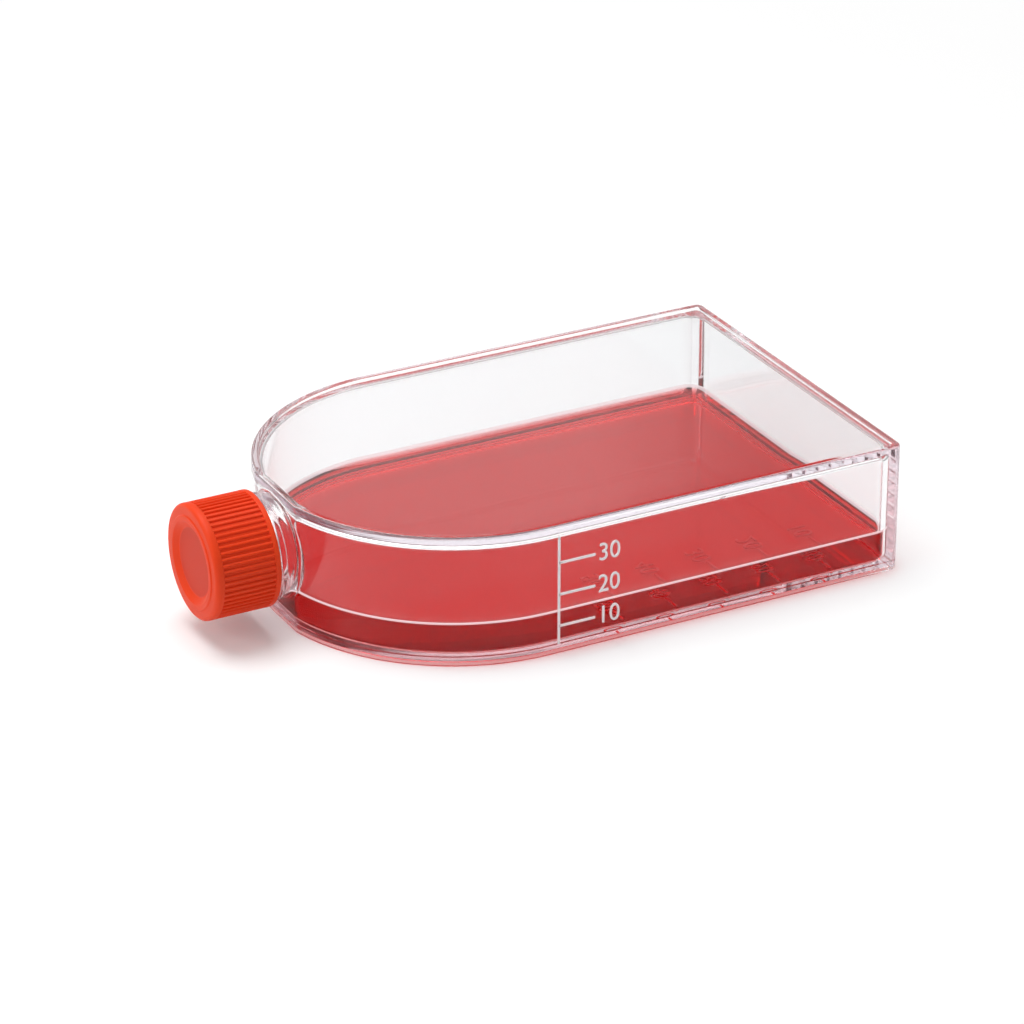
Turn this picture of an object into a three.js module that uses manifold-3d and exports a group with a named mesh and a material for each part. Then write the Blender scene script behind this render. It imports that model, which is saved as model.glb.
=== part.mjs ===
// A cell culture flask lying on its growth plate, in millimetres with +Z up. The long axis is X,
// and the neck points to -X. The clear body is a shallow U-shaped tub with a round neck, closed
// below by a welded plate, and an orange cap screws onto the neck over a liner.
import * as THREE from "three";
import { mergeVertices } from "three/addons/utils/BufferGeometryUtils.js";
import Module from "manifold-3d";

const wasm = await Module();
wasm.setup();

// Body
const bodyWidth = 62.5;
const bodyThickness = 21.6;
const straightLength = 62;
const shoulderRadius = 31.25;
const neckFlat = 13; // width of the flat wall that the neck stands on
const baseCornerRadius = 1.3;
const chamberCornerRadius = 3; // of the chamber's upright corners at the base end
const wall = 1.2;
const plateThickness = 1.2;
const rimWidth = 1.5;
const rimHeight = 0.6; // how far both rims stand proud of their plates

// Neck
const neckHeight = 12.4; // of the neck's axis above the surface that the flask lies on
const boreRadius = 5.9;
const neckWall = 1.1;
const neckRootThickening = 0.6;
const flangeOverhang = 1.3;
const flangeThickness = 1.3;
const collarOverhang = 1.5;
const collarThickness = 1;
const collarGap = 0.4; // between the collar and the cap's open end

// Thread, shared by the neck and the cap
const threadLead = 3.6;
const threadDepth = 0.65;
const threadRootWidth = 1.1;
const threadCrestWidth = 0.6;
const capThreadTurns = 1;
const mouthLand = 0.5; // plain neck between its thread and its mouth
const threadClearance = 0.35;
const threadStart = 0.9; // from the cap's open end to the middle of its first ridge
const threadBite = 0.4; // how deep a ridge's foot is sunk in the wall that carries it

// Cap and liner
const capGap = 3.2; // from the body's end wall to the cap's open end
const capHeight = 11;
const capWall = 1;
const capTopThickness = 2.2;
const ribCount = 60;
const ribHeight = 0.3;
const ribShare = 0.5; // of the pitch that a rib's foot takes
const topBandHeight = 1.6;
const skirtBandHeight = 0.9;
const capEdgeRadius = 0.7;
const capRecessRadius = 6.6;
const capRecessDepth = 0.7;
const sealThickness = 1;
const sealClearance = 0.1;
const sealSideClearance = 0.4;

// Medium and moulded scales
const mediumDepth = 5;
const mediumClearance = 0.3;
const scaleStep = 10; // millilitres between two main marks
const mainMarks = 5;
const sideMarks = 3;
const markWidth = 0.35;
const markProud = 0.15;
const markBite = 0.3;
const mainMarkLength = 5;
const mainMarkInset = 5.4; // from the body's side to a main mark's outer end
const sideMarkLength = 4.7;
const sideFirstMark = 3; // height of the lowest side mark above the growth surface
const sideMarkStep = 5.3;
const sideScaleDistance = 1.5; // from the shoulder's start to the upright line of the side scale

// Smoothness
const arcSteps = 22;
const roundSteps = 64;

// What follows from those sizes
const shoulderCentreOffset = bodyWidth / 2 - shoulderRadius;
const shoulderReach = Math.sqrt(
  shoulderRadius ** 2 - (neckFlat / 2 - shoulderCentreOffset) ** 2,
);
const bodyLength = straightLength + shoulderReach;
const overallLength = bodyLength + capGap + capHeight;
const baseX = overallLength / 2;
const shoulderX = baseX - straightLength;
const neckX = baseX - bodyLength;
const floorZ = rimHeight + plateThickness;
const ceilingZ = bodyThickness - rimHeight - plateThickness;
const neckRadius = boreRadius + neckWall;
const threadRadius = neckRadius + threadDepth;
const capBoreRadius = threadRadius + threadClearance;
const capRootRadius = capBoreRadius + capWall - ribHeight / 2;
const capRadius = capRootRadius + ribHeight;
const neckLength = capGap + capHeight - capTopThickness - sealThickness - 2 * sealClearance;
const capThreadZ = capGap + threadStart;
const neckThreadZ = capThreadZ + threadLead / 2;
const neckThreadEnd = neckLength - mouthLand - threadRootWidth / 2;
const neckThreadTurns = (neckThreadEnd - neckThreadZ) / threadLead;
const sectionArea = (bodyWidth - 2 * wall) * (ceilingZ - floorZ);

const material = (color, roughness, opacity = 1) =>
  new THREE.MeshStandardMaterial({
    color,
    roughness,
    metalness: 0,
    opacity,
    transparent: opacity < 1,
  });
const clearPlastic = material(0xeef0f4, 0.05, 0.35);
const orangePlastic = material(0xe5481e, 0.45);
const whiteLiner = material(0xf2f0ea, 0.6);
const redMedium = material(0xc81e1e, 0.05, 0.75);

// A closed three.js geometry as a manifold solid.
function solid(geometry) {
  const bare = geometry.clone();
  bare.deleteAttribute("normal");
  bare.deleteAttribute("uv");
  const merged = mergeVertices(bare, 1e-4);
  const mesh = new wasm.Mesh({
    numProp: 3,
    vertProperties: merged.attributes.position.array,
    triVerts: new Uint32Array(merged.index.array),
  });
  const made = new wasm.Manifold(mesh);
  if (made.volume() <= 0) throw new Error("a piece is empty or inside out");
  return made;
}

function geometryOf(made) {
  const mesh = made.getMesh();
  const geometry = new THREE.BufferGeometry();
  geometry.setAttribute("position", new THREE.BufferAttribute(mesh.vertProperties, 3));
  geometry.setIndex(new THREE.BufferAttribute(mesh.triVerts, 1));
  geometry.computeVertexNormals();
  return geometry;
}

function named(name, geometry, finish) {
  const mesh = new THREE.Mesh(geometry, finish);
  mesh.name = name;
  return mesh;
}

// The body's outline seen from above, moved in by inset all round. Its base end is square with
// rounded corners, and its shoulders are arcs that end on the flat neck wall.
function bodyOutline(inset, corner) {
  const side = bodyWidth / 2 - inset;
  const base = baseX - inset;
  const radius = shoulderRadius - inset;
  const flatX = neckX + inset;
  const sweep = Math.acos(Math.min((shoulderX - flatX) / radius, 1));
  const shape = new THREE.Shape();
  shape.moveTo(shoulderX, -side);
  shape.lineTo(base - corner, -side);
  shape.absarc(base - corner, -side + corner, corner, -Math.PI / 2, 0, false);
  shape.absarc(base - corner, side - corner, corner, 0, Math.PI / 2, false);
  shape.absarc(shoulderX, shoulderCentreOffset, radius, Math.PI / 2, Math.PI - sweep, false);
  shape.absarc(shoulderX, -shoulderCentreOffset, radius, Math.PI + sweep, 1.5 * Math.PI, false);
  return shape;
}

// A slab of the body's outline between two heights.
function slab(inset, fromZ, toZ, corner = Math.max(baseCornerRadius - inset, 0.4)) {
  const geometry = new THREE.ExtrudeGeometry(bodyOutline(inset, corner), {
    depth: toZ - fromZ,
    bevelEnabled: false,
    curveSegments: arcSteps,
  });
  return geometry.translate(0, 0, fromZ);
}

// A turned solid about Z from [radius, z] pairs that go up the outside.
function turned(profile) {
  const points = profile.map(([radius, z]) => new THREE.Vector2(radius, z));
  const geometry = new THREE.LatheGeometry(points, roundSteps);
  return geometry.rotateX(Math.PI / 2);
}

function rod(radius, fromZ, toZ) {
  const geometry = new THREE.CylinderGeometry(radius, radius, toZ - fromZ, roundSteps);
  geometry.rotateX(Math.PI / 2);
  return geometry.translate(0, 0, (fromZ + toZ) / 2);
}

// A right-handed helix about Z. Its section keeps x outward and y back along the axis, which is
// the turn that faces the ridge's surface out.
class Helix extends THREE.Curve {
  constructor(radius, lead, turns, startZ) {
    super();
    Object.assign(this, { radius, lead, turns, startZ });
  }

  getPoint(t, target = new THREE.Vector3()) {
    const angle = t * this.turns * 2 * Math.PI;
    const z = this.startZ + t * this.turns * this.lead;
    return target.set(this.radius * Math.cos(angle), this.radius * Math.sin(angle), z);
  }

  getPointAt(t, target) {
    return this.getPoint(t, target);
  }

  computeFrenetFrames(segments) {
    const frames = { tangents: [], normals: [], binormals: [] };
    for (let i = 0; i <= segments; i++) {
      const angle = (i / segments) * this.turns * 2 * Math.PI;
      const slope = this.lead / (2 * Math.PI * this.radius);
      const tangent = new THREE.Vector3(-Math.sin(angle), Math.cos(angle), slope);
      frames.tangents.push(tangent.normalize());
      frames.normals.push(new THREE.Vector3(Math.cos(angle), Math.sin(angle), 0));
      frames.binormals.push(new THREE.Vector3(0, 0, -1));
    }
    return frames;
  }
}

// A helical ridge on a cylinder of the given radius. Direction 1 stands it outward, as on the
// neck, and -1 inward, as in the cap.
function threadRidge(radius, direction, turns, startZ) {
  const foot = -direction * threadBite;
  const crest = direction * threadDepth;
  const corners = [
    [foot, -threadRootWidth / 2],
    [crest, -threadCrestWidth / 2],
    [crest, threadCrestWidth / 2],
    [foot, threadRootWidth / 2],
  ];
  const section = new THREE.Shape(corners.map(([x, y]) => new THREE.Vector2(x, y)));
  return new THREE.ExtrudeGeometry(section, {
    steps: Math.round((turns * roundSteps) / 2),
    bevelEnabled: false,
    extrudePath: new Helix(radius, threadLead, turns, startZ),
  });
}

// Neck, in its own frame: z runs out from the body's end wall.
function neckSolid() {
  const root = -wall / 2;
  const collarTop = capGap - collarGap;
  const parts = [
    rod(neckRadius + neckRootThickening, root, collarTop),
    rod(neckRadius + flangeOverhang, root, flangeThickness),
    rod(neckRadius + collarOverhang, collarTop - collarThickness, collarTop),
    rod(neckRadius, root, neckLength),
  ].map(solid);
  const ridge = threadRidge(neckRadius, 1, neckThreadTurns, neckThreadZ);
  return parts.reduce((a, b) => a.add(b)).add(solid(ridge));
}

const neckFrame = new THREE.Matrix4()
  .makeTranslation(neckX, 0, neckHeight)
  .multiply(new THREE.Matrix4().makeRotationY(-Math.PI / 2));

function placed(made) {
  return solid(geometryOf(made).applyMatrix4(neckFrame));
}

function box(sizeX, sizeY, sizeZ, x, y, z) {
  return solid(new THREE.BoxGeometry(sizeX, sizeY, sizeZ).translate(x, y, z));
}

// The side scale: an upright line as high as the chamber and its marks, raised on the -Y wall.
function sideScale() {
  const deep = markProud + markBite;
  const y = -bodyWidth / 2 - markProud + deep / 2;
  const x = shoulderX + sideScaleDistance;
  const parts = [box(markWidth, deep, ceilingZ - floorZ, x, y, (ceilingZ + floorZ) / 2)];
  for (let n = 0; n < sideMarks; n++) {
    const z = floorZ + sideFirstMark + n * sideMarkStep;
    parts.push(box(sideMarkLength, deep, markWidth, x + sideMarkLength / 2, y, z));
  }
  return parts.reduce((a, b) => a.add(b));
}

// The main scale: marks raised on the underside, each one step of volume further from the base
// end when the flask stands on it, by the area of its straight part. They end at the foot rim.
function mainScale() {
  const deep = markProud + markBite;
  const y = -bodyWidth / 2 + mainMarkInset + mainMarkLength / 2;
  const z = rimHeight - markProud + deep / 2;
  const step = (scaleStep * 1000) / sectionArea;
  const parts = [];
  for (let n = 1; n <= mainMarks; n++) {
    parts.push(box(markWidth, mainMarkLength, deep, baseX - wall - n * step, y, z));
  }
  const insideRim = solid(slab(rimWidth, 0, floorZ));
  return parts.reduce((a, b) => a.add(b)).intersect(insideRim);
}

// The tub: walls, upper plate and its rim, with the neck and the side scale in one moulding.
function flaskBody() {
  const outer = solid(slab(0, floorZ, bodyThickness));
  const chamber = solid(slab(wall, floorZ - 1, ceilingZ, chamberCornerRadius));
  const recess = solid(slab(rimWidth, bodyThickness - rimHeight, bodyThickness + 1));
  const bore = placed(solid(rod(boreRadius, -2 * wall, neckLength + 1)));
  const made = outer
    .add(placed(neckSolid()))
    .subtract(chamber)
    .subtract(recess)
    .subtract(bore)
    .add(sideScale());
  return named("flask_body", geometryOf(made), clearPlastic);
}

// The welded plate: the growth surface above, the foot rim and the main scale's marks below.
function growthPlate() {
  const recess = solid(slab(rimWidth, -1, rimHeight));
  const made = solid(slab(0, 0, floorZ)).subtract(recess).add(mainScale());
  return named("growth_plate", geometryOf(made), clearPlastic);
}

function cultureMedium() {
  const inset = wall + mediumClearance;
  const corner = chamberCornerRadius - mediumClearance;
  const geometry = slab(inset, floorZ, floorZ + mediumDepth, corner);
  return named("culture_medium", geometryOf(solid(geometry)), redMedium);
}

// Outline of the ribbed skirt: each rib rises from the root circle to the crest circle.
function ribbedOutline() {
  const points = [];
  const pitch = (2 * Math.PI) / ribCount;
  const footHalf = (pitch * ribShare) / 2;
  const crestHalf = footHalf / 2;
  for (let i = 0; i < ribCount; i++) {
    const middle = i * pitch;
    const steps = [
      [-footHalf, capRootRadius],
      [-crestHalf, capRadius],
      [crestHalf, capRadius],
      [footHalf, capRootRadius],
    ];
    for (const [turn, radius] of steps) {
      const angle = middle + turn;
      points.push(new THREE.Vector2(radius * Math.cos(angle), radius * Math.sin(angle)));
    }
  }
  return new THREE.Shape(points);
}

// Cap, in the neck's frame.
function screwCap() {
  const open = capGap;
  const top = capGap + capHeight;
  const ribs = new THREE.ExtrudeGeometry(ribbedOutline(), {
    depth: capHeight - topBandHeight - skirtBandHeight,
    bevelEnabled: false,
  });
  ribs.translate(0, 0, open + skirtBandHeight);
  const core = turned([
    [0, open],
    [capRadius, open],
    [capRadius, open + skirtBandHeight],
    [capRootRadius - ribHeight / 2, open + skirtBandHeight],
    [capRootRadius - ribHeight / 2, top - topBandHeight],
    [capRadius, top - topBandHeight],
    [capRadius, top - capEdgeRadius],
    [capRadius - capEdgeRadius * 0.3, top - capEdgeRadius * 0.3],
    [capRadius - capEdgeRadius, top],
    [0, top],
  ]);
  const hollow = solid(rod(capBoreRadius, open - 1, top - capTopThickness));
  const recess = solid(rod(capRecessRadius, top - capRecessDepth, top + 1));
  const ridge = threadRidge(capBoreRadius, -1, capThreadTurns, capThreadZ);
  const made = solid(core)
    .add(solid(ribs))
    .subtract(hollow)
    .subtract(recess)
    .add(solid(ridge));
  return named("screw_cap", geometryOf(made), orangePlastic);
}

function capSeal() {
  const from = neckLength + sealClearance;
  const geometry = rod(capBoreRadius - sealSideClearance, from, from + sealThickness);
  return named("cap_seal", geometryOf(solid(geometry)), whiteLiner);
}

const flask = new THREE.Group();
flask.add(flaskBody(), growthPlate(), cultureMedium());

const closure = new THREE.Group();
closure.position.set(neckX, 0, neckHeight);
closure.rotation.y = -Math.PI / 2;
closure.add(capSeal(), screwCap());
flask.add(closure);

export default flask;
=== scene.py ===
import math

import bmesh
import bpy
from bpy.props import FloatProperty, FloatVectorProperty, IntProperty, PointerProperty
from mathutils import Matrix, Vector


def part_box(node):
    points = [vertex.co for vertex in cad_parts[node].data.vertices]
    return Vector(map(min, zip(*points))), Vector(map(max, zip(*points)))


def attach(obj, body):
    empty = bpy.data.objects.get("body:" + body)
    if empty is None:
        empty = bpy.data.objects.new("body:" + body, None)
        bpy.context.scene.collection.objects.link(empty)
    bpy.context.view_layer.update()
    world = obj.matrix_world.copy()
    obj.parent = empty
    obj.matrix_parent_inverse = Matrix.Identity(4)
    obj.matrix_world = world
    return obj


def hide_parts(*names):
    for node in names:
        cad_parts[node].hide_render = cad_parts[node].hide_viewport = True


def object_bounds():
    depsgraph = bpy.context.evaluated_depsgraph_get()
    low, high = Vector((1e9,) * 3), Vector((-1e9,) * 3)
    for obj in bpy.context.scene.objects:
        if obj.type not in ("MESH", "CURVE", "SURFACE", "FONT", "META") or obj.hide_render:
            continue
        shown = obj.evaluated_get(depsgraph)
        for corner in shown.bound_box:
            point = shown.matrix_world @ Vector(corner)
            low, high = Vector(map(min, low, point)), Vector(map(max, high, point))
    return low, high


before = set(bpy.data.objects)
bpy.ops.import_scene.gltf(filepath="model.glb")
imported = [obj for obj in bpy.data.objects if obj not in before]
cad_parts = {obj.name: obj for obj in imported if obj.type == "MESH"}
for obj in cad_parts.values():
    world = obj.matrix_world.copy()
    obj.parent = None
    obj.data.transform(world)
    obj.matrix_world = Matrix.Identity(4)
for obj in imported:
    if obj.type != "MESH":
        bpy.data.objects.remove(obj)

bl_info = {
    "name": "Cell Culture Flask",
    "version": (1, 0, 0),
    "blender": (4, 5, 0),
    "location": "3D View > Sidebar > Flask",
    "description": "Builds the clear flask, its medium, scales, cap and liner round the CAD frame",
    "category": "Add Mesh",
}

MM = 0.001

# Radii of the small roundings, from tight to soft
TIGHT = 0.1 * MM
FINE = 0.15 * MM
SOFT = 0.25 * MM
BLUNT = 0.3 * MM

SINK = 0.02 * MM  # how far marks and medium reach into the wall that they touch
MERGE = 0.001 * MM  # points nearer than this become one
SHARP = math.radians(38)  # edges with a wider angle than this stay sharp
HUB = 1 * MM  # radius of the flat face that ends the neck and its bore
SMALL_HUB = 0.5 * MM  # the same for the cap and the liner

CORNER_STEPS = 6
SHOULDER_STEPS = 32
MARK_VOLUME = 10000 * MM**3  # between two marks of the main scale

# What the font's figures need: size for a height of one, change of the strokes' edges as a share
# of the height, and the width of two figures for a height of one
FONT_SIZE = 1.66
STROKE_OFFSET = -0.004
TWO_FIGURES = 1.62

BOUNCES = 56  # light in a clear edge is reflected many times before it gets out

# Places and sizes that the CAD frame gives
CAD_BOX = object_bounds()
PLATE_LOW, PLATE_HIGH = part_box("growth_plate")
BODY_LOW, BODY_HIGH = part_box("flask_body")
MEDIUM_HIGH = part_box("culture_medium")[1]
CAP_LOW, CAP_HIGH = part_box("screw_cap")
SEAL_LOW, SEAL_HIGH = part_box("cap_seal")
NECK_X = PLATE_LOW.x
BASE_X = PLATE_HIGH.x
HALF_WIDTH = PLATE_HIGH.y
CHAMBER_FLOOR = PLATE_HIGH.z
TOP_Z = BODY_HIGH.z
AXIS_Z = (CAP_LOW.z + CAP_HIGH.z) / 2
CAP_RADIUS = (CAP_HIGH.z - CAP_LOW.z) / 2
CAP_HEIGHT = CAP_HIGH.x - CAP_LOW.x
NECK_LENGTH = NECK_X - BODY_LOW.x
CAP_GAP = NECK_X - CAP_HIGH.x
MARK_PROUD = -HALF_WIDTH - BODY_LOW.y


def length(name, millimetres, description):
    """A property that holds a length, with its default in millimetres."""
    return FloatProperty(
        name=name,
        description=description,
        default=millimetres * MM,
        min=0,
        unit="LENGTH",
        subtype="DISTANCE",
        precision=5,
    )


def colour(name, value, description):
    """A property that holds a linear RGB colour."""
    return FloatVectorProperty(
        name=name, description=description, default=value, size=3, min=0, max=1, subtype="COLOR"
    )


class FlaskBodySizes(bpy.types.PropertyGroup):
    """Sizes of the clear body and of what is in it and on it."""

    wall: length("Wall", 1.2, "Thickness of the side walls")
    plate: length("Plate", 1.2, "Thickness of the upper plate and the growth plate")
    shoulder_radius: length("Shoulder radius", 31.25, "Radius of the arcs beside the neck")
    neck_flat: length("Neck flat", 13, "Width of the flat wall that the neck stands on")
    corner_radius: length("Base corner", 1.3, "Outer radius of the upright base corners")
    inner_corner_radius: length("Inner base corner", 3, "Radius of the chamber's base corners")
    chamber_fillet: length("Chamber fillet", 0.9, "Radius where the walls meet the two plates")
    rim_width: length("Rim width", 1.25, "Width of the rims round both plates")
    rim_height: length("Rim height", 0.6, "How far the rims stand proud of the plates")
    rim_edge: length("Rim edge", 0.45, "Radius of a rim's outer edge")
    weld_groove: length("Weld groove", 0.1, "Depth of the fine groove along the weld")
    bore_radius: length("Bore radius", 5.9, "Inner radius of the neck")
    neck_wall: length("Neck wall", 1.1, "Thickness of the neck under its thread")
    neck_root: length("Neck root", 0.6, "How much thicker the neck is below the collar")
    flare: length("Neck flare", 1.3, "How far the neck flares out where it meets the body")
    collar_overhang: length("Collar overhang", 1.5, "How far the collar stands out")
    collar_thickness: length("Collar thickness", 1.0, "Thickness of the collar")
    collar_gap: length("Collar gap", 0.4, "Gap between the collar and the cap")
    level_drop: length("Level drop", 0.4, "How far the flat level lies below the mean fill height")
    meniscus: length("Meniscus", 0.8, "How far the medium climbs at the walls")
    meniscus_reach: length("Meniscus reach", 0.8, "Distance in which the climb falls off")


class FlaskThreadSizes(bpy.types.PropertyGroup):
    """Sizes of the thread that the neck and the cap share."""

    lead: length("Lead", 3.6, "Travel of the cap in one turn")
    depth: length("Depth", 0.65, "Height of the ridge")
    root_width: length("Foot width", 1.1, "Width of the ridge at its foot")
    crest_width: length("Crest width", 0.6, "Width of the ridge at its crest")
    clearance: length("Clearance", 0.35, "Gap between a crest and the wall it faces")
    start: length("Start", 0.9, "From the cap's open end to its first ridge")
    land: length("Mouth land", 0.5, "Plain neck between the thread and the mouth")
    cap_turns: FloatProperty(name="Cap turns", description="Turns of the cap's ridge", default=1)


class FlaskCapSizes(bpy.types.PropertyGroup):
    """Sizes of the screw cap and its liner."""

    wall: length("Wall", 1, "Thickness of the skirt")
    top: length("Top", 2.2, "Thickness of the closed end")
    rib_count: IntProperty(name="Ribs", description="Number of grip ribs", default=60, min=3)
    rib_height: length("Rib height", 0.3, "How far a rib stands proud")
    rib_width: length("Rib width", 0.5, "Width of a rib")
    top_band: length("Top band", 1.6, "Plain band above the ribs")
    skirt_band: length("Skirt band", 0.9, "Plain band below the ribs")
    edge_radius: length("Edge radius", 0.7, "Radius of the closed end's outer edge")
    recess_radius: length("Recess radius", 6.6, "Radius of the sunk disc")
    recess_depth: length("Recess depth", 0.7, "Depth of the sunk disc")
    recess_slope: length("Recess slope", 1.0, "How far the wall round the sunk disc leans in")
    lip_width: length("Lip width", 0.7, "Width of the raised lip round the sunk disc")
    lip_height: length("Lip height", 0.2, "How far the lip stands proud of the closed end")


class FlaskScaleSizes(bpy.types.PropertyGroup):
    """Sizes of the side scale and the main scale."""

    line_width: length("Line width", 0.38, "Width of every line of the scales")
    side_first: length("First side mark", 3, "Height of the lowest side mark in the chamber")
    side_step: length("Side step", 5.3, "Distance between two side marks")
    side_marks: IntProperty(name="Side marks", description="Number of side marks", default=3)
    side_mark_length: length("Side mark", 6.2, "Length of a side mark")
    side_distance: length("Side distance", 1.5, "From the shoulder to the scale's upright line")
    side_figure: length("Side figures", 2.5, "Height of the side scale's figures")
    main_marks: IntProperty(name="Main marks", description="Number of main marks", default=5)
    main_mark_length: length("Main mark", 5, "Length of a main mark")
    main_inset: length("Main inset", 5.4, "From the body's side to a main mark's outer end")
    main_figure: length("Main figures", 2.8, "Height of the main scale's figures")
    figure_width: FloatProperty(
        name="Figure width",
        description="Width of the figures as a share of plain ones",
        default=0.94,
    )
    figure_gap: length("Figure gap", 0.45, "Gap between a mark and its figure")


class FlaskColours(bpy.types.PropertyGroup):
    """Colours of the finishes."""

    clear: colour("Clear plastic", (0.975, 0.98, 0.985), "Tint of the clear plastic's surface")
    clear_depth: colour("Clear depth", (0.85, 0.79, 0.85), "What deep clear plastic lets through")
    medium: colour("Medium", (0.982, 0.03, 0.04), "What the medium lets through")
    cap: colour("Cap", (0.86, 0.056, 0.009), "The cap's plastic")
    cap_disc: colour("Cap disc", (0.66, 0.045, 0.018), "The cap's sunk disc")
    liner: colour("Liner", (0.86, 0.85, 0.82), "The liner's foam")
    scale: colour("Scale", (1, 0.96, 0.97), "The scales' lines and figures")
    floor: colour("Floor", (0.86, 0.86, 0.86), "The floor")


# Shader and geometry graphs


class Value:
    """A socket whose use in an expression adds Math nodes to its graph."""

    def __init__(self, graph, socket):
        self.graph = graph
        self.socket = socket

    def maths(self, operation, *values):
        inputs = dict(enumerate(values))
        return self.graph.node("ShaderNodeMath", {"operation": operation}, inputs)["Value"]

    def __add__(self, other):
        return self.maths("ADD", self, other)

    def __sub__(self, other):
        return self.maths("SUBTRACT", self, other)

    def __rsub__(self, other):
        return self.maths("SUBTRACT", other, self)

    def __mul__(self, other):
        return self.maths("MULTIPLY", self, other)

    def __truediv__(self, other):
        return self.maths("DIVIDE", self, other)

    def lower(self, other):
        return self.maths("MINIMUM", self, other)

    def higher(self, other):
        return self.maths("MAXIMUM", self, other)

    def root(self):
        return self.maths("SQRT", self)

    __radd__ = __add__
    __rmul__ = __mul__


class Made:
    """A node whose outputs are read by name as Values."""

    def __init__(self, graph, node):
        self.graph = graph
        self.node = node

    def __getitem__(self, name):
        return Value(self.graph, self.node.outputs[name])


class Graph:
    """A node tree that is written as calls."""

    def __init__(self, tree):
        self.tree = tree
        tree.nodes.clear()

    def node(self, kind, settings=None, inputs=None):
        """Adds a node, sets its settings first and then the values or links of its sockets."""
        made = self.tree.nodes.new(kind)
        for name, value in (settings or {}).items():
            setattr(made, name, value)
        for name, value in (inputs or {}).items():
            if isinstance(value, Value):
                self.tree.links.new(value.socket, made.inputs[name])
            else:
                made.inputs[name].default_value = value
        return Made(self, made)

    def noise(self, vector, scale, detail=2):
        return self.node(
            "ShaderNodeTexNoise", None, {"Vector": vector, "Scale": scale, "Detail": detail}
        )["Fac"]

    def blend(self, factor, first, second):
        """The colour between first and second, each a colour or a socket."""
        made = self.node("ShaderNodeMix", {"data_type": "RGBA"})
        for index, value in ((0, factor), (6, first), (7, second)):
            if isinstance(value, Value):
                self.tree.links.new(value.socket, made.node.inputs[index])
            elif index:
                made.node.inputs[index].default_value = (*value, 1)
            else:
                made.node.inputs[index].default_value = value
        return Value(self, made.node.outputs[2])

    def ramp(self, value, start, end, low=0, high=1):
        """A soft step from low to high while the value goes from start to end."""
        ends = {"Value": value, "From Min": start, "From Max": end, "To Min": low, "To Max": high}
        settings = {"interpolation_type": "SMOOTHSTEP"}
        return self.node("ShaderNodeMapRange", settings, ends)["Result"]

    def bump(self, height, strength, distance):
        inputs = {"Height": height, "Strength": strength, "Distance": distance}
        return self.node("ShaderNodeBump", None, inputs)["Normal"]

    def object_coordinates(self):
        return self.node("ShaderNodeTexCoord")["Object"]


def material(name):
    """A new material and its empty graph."""
    made = bpy.data.materials.new(name)
    made.use_nodes = True
    return made, Graph(made.node_tree)


# Finishes


def darker(shade, share):
    """A colour brought down to a share of itself."""
    return [share * part for part in shade]


def see_through(name, tint, ior, gloss, depth_tint, density, shadow, waviness, edge=None):
    """A clear finish that bends light and colours it with depth. Lamplight and light from matt
    surfaces goes straight through, dimmed by shadow. From the height of edge up, a pale line
    glows by emission: a painted glint for the highlight where a liquid climbs a wall."""
    made, graph = material(name)
    place = graph.object_coordinates()
    waves = graph.noise(place, scale=55, detail=1)
    normal = graph.bump(waves, strength=waviness, distance=0.0002)
    surface = graph.node(
        "ShaderNodeBsdfPrincipled",
        None,
        {
            "Base Color": (*tint, 1),
            "Roughness": 0.0,
            "IOR": ior,
            "Transmission Weight": 1.0,
            "Specular Tint": (gloss, gloss, gloss, 1),
            "Normal": normal,
        },
    )
    finish = surface["BSDF"]
    # Painted glint: from the height of edge up, a pale band glows by emission in place of a
    # highlight on the meniscus.
    if edge:
        height = graph.node("ShaderNodeSeparateXYZ", None, {"Vector": place})["Z"]
        share = graph.ramp(height, edge, edge + 0.12 * MM, high=0.7)
        pale = graph.node("ShaderNodeEmission", None, {"Color": (1, 0.84, 0.86, 1)})
        line = {0: share, 1: finish, 2: pale["Emission"]}
        finish = graph.node("ShaderNodeMixShader", None, line)["Shader"]
    clear = graph.node("ShaderNodeBsdfTransparent", None, {"Color": (*shadow, 1)})
    ray = graph.node("ShaderNodeLightPath")
    straight = ray["Is Shadow Ray"].higher(ray["Is Diffuse Ray"])
    mixed = graph.node("ShaderNodeMixShader", None, {0: straight, 1: finish, 2: clear["BSDF"]})
    depth = graph.node(
        "ShaderNodeVolumeAbsorption", None, {"Color": (*depth_tint, 1), "Density": density}
    )
    graph.node(
        "ShaderNodeOutputMaterial", None, {"Surface": mixed["Shader"], "Volume": depth["Volume"]}
    )
    return made


def clear_plastic(colours):
    return see_through(
        "clear_plastic",
        tint=colours.clear,
        ior=1.585,
        gloss=0.25,
        depth_tint=colours.clear_depth,
        density=16,
        shadow=(0.905, 0.905, 0.91),
        waviness=0.12,
    )


def red_medium(colours, edge):
    return see_through(
        "culture_medium",
        tint=(1, 1, 1),
        ior=1.335,
        gloss=0.15,
        depth_tint=colours.medium,
        density=900,
        shadow=(0.95, 0.95, 0.95),
        waviness=0.05,
        edge=edge,
    )


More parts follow.
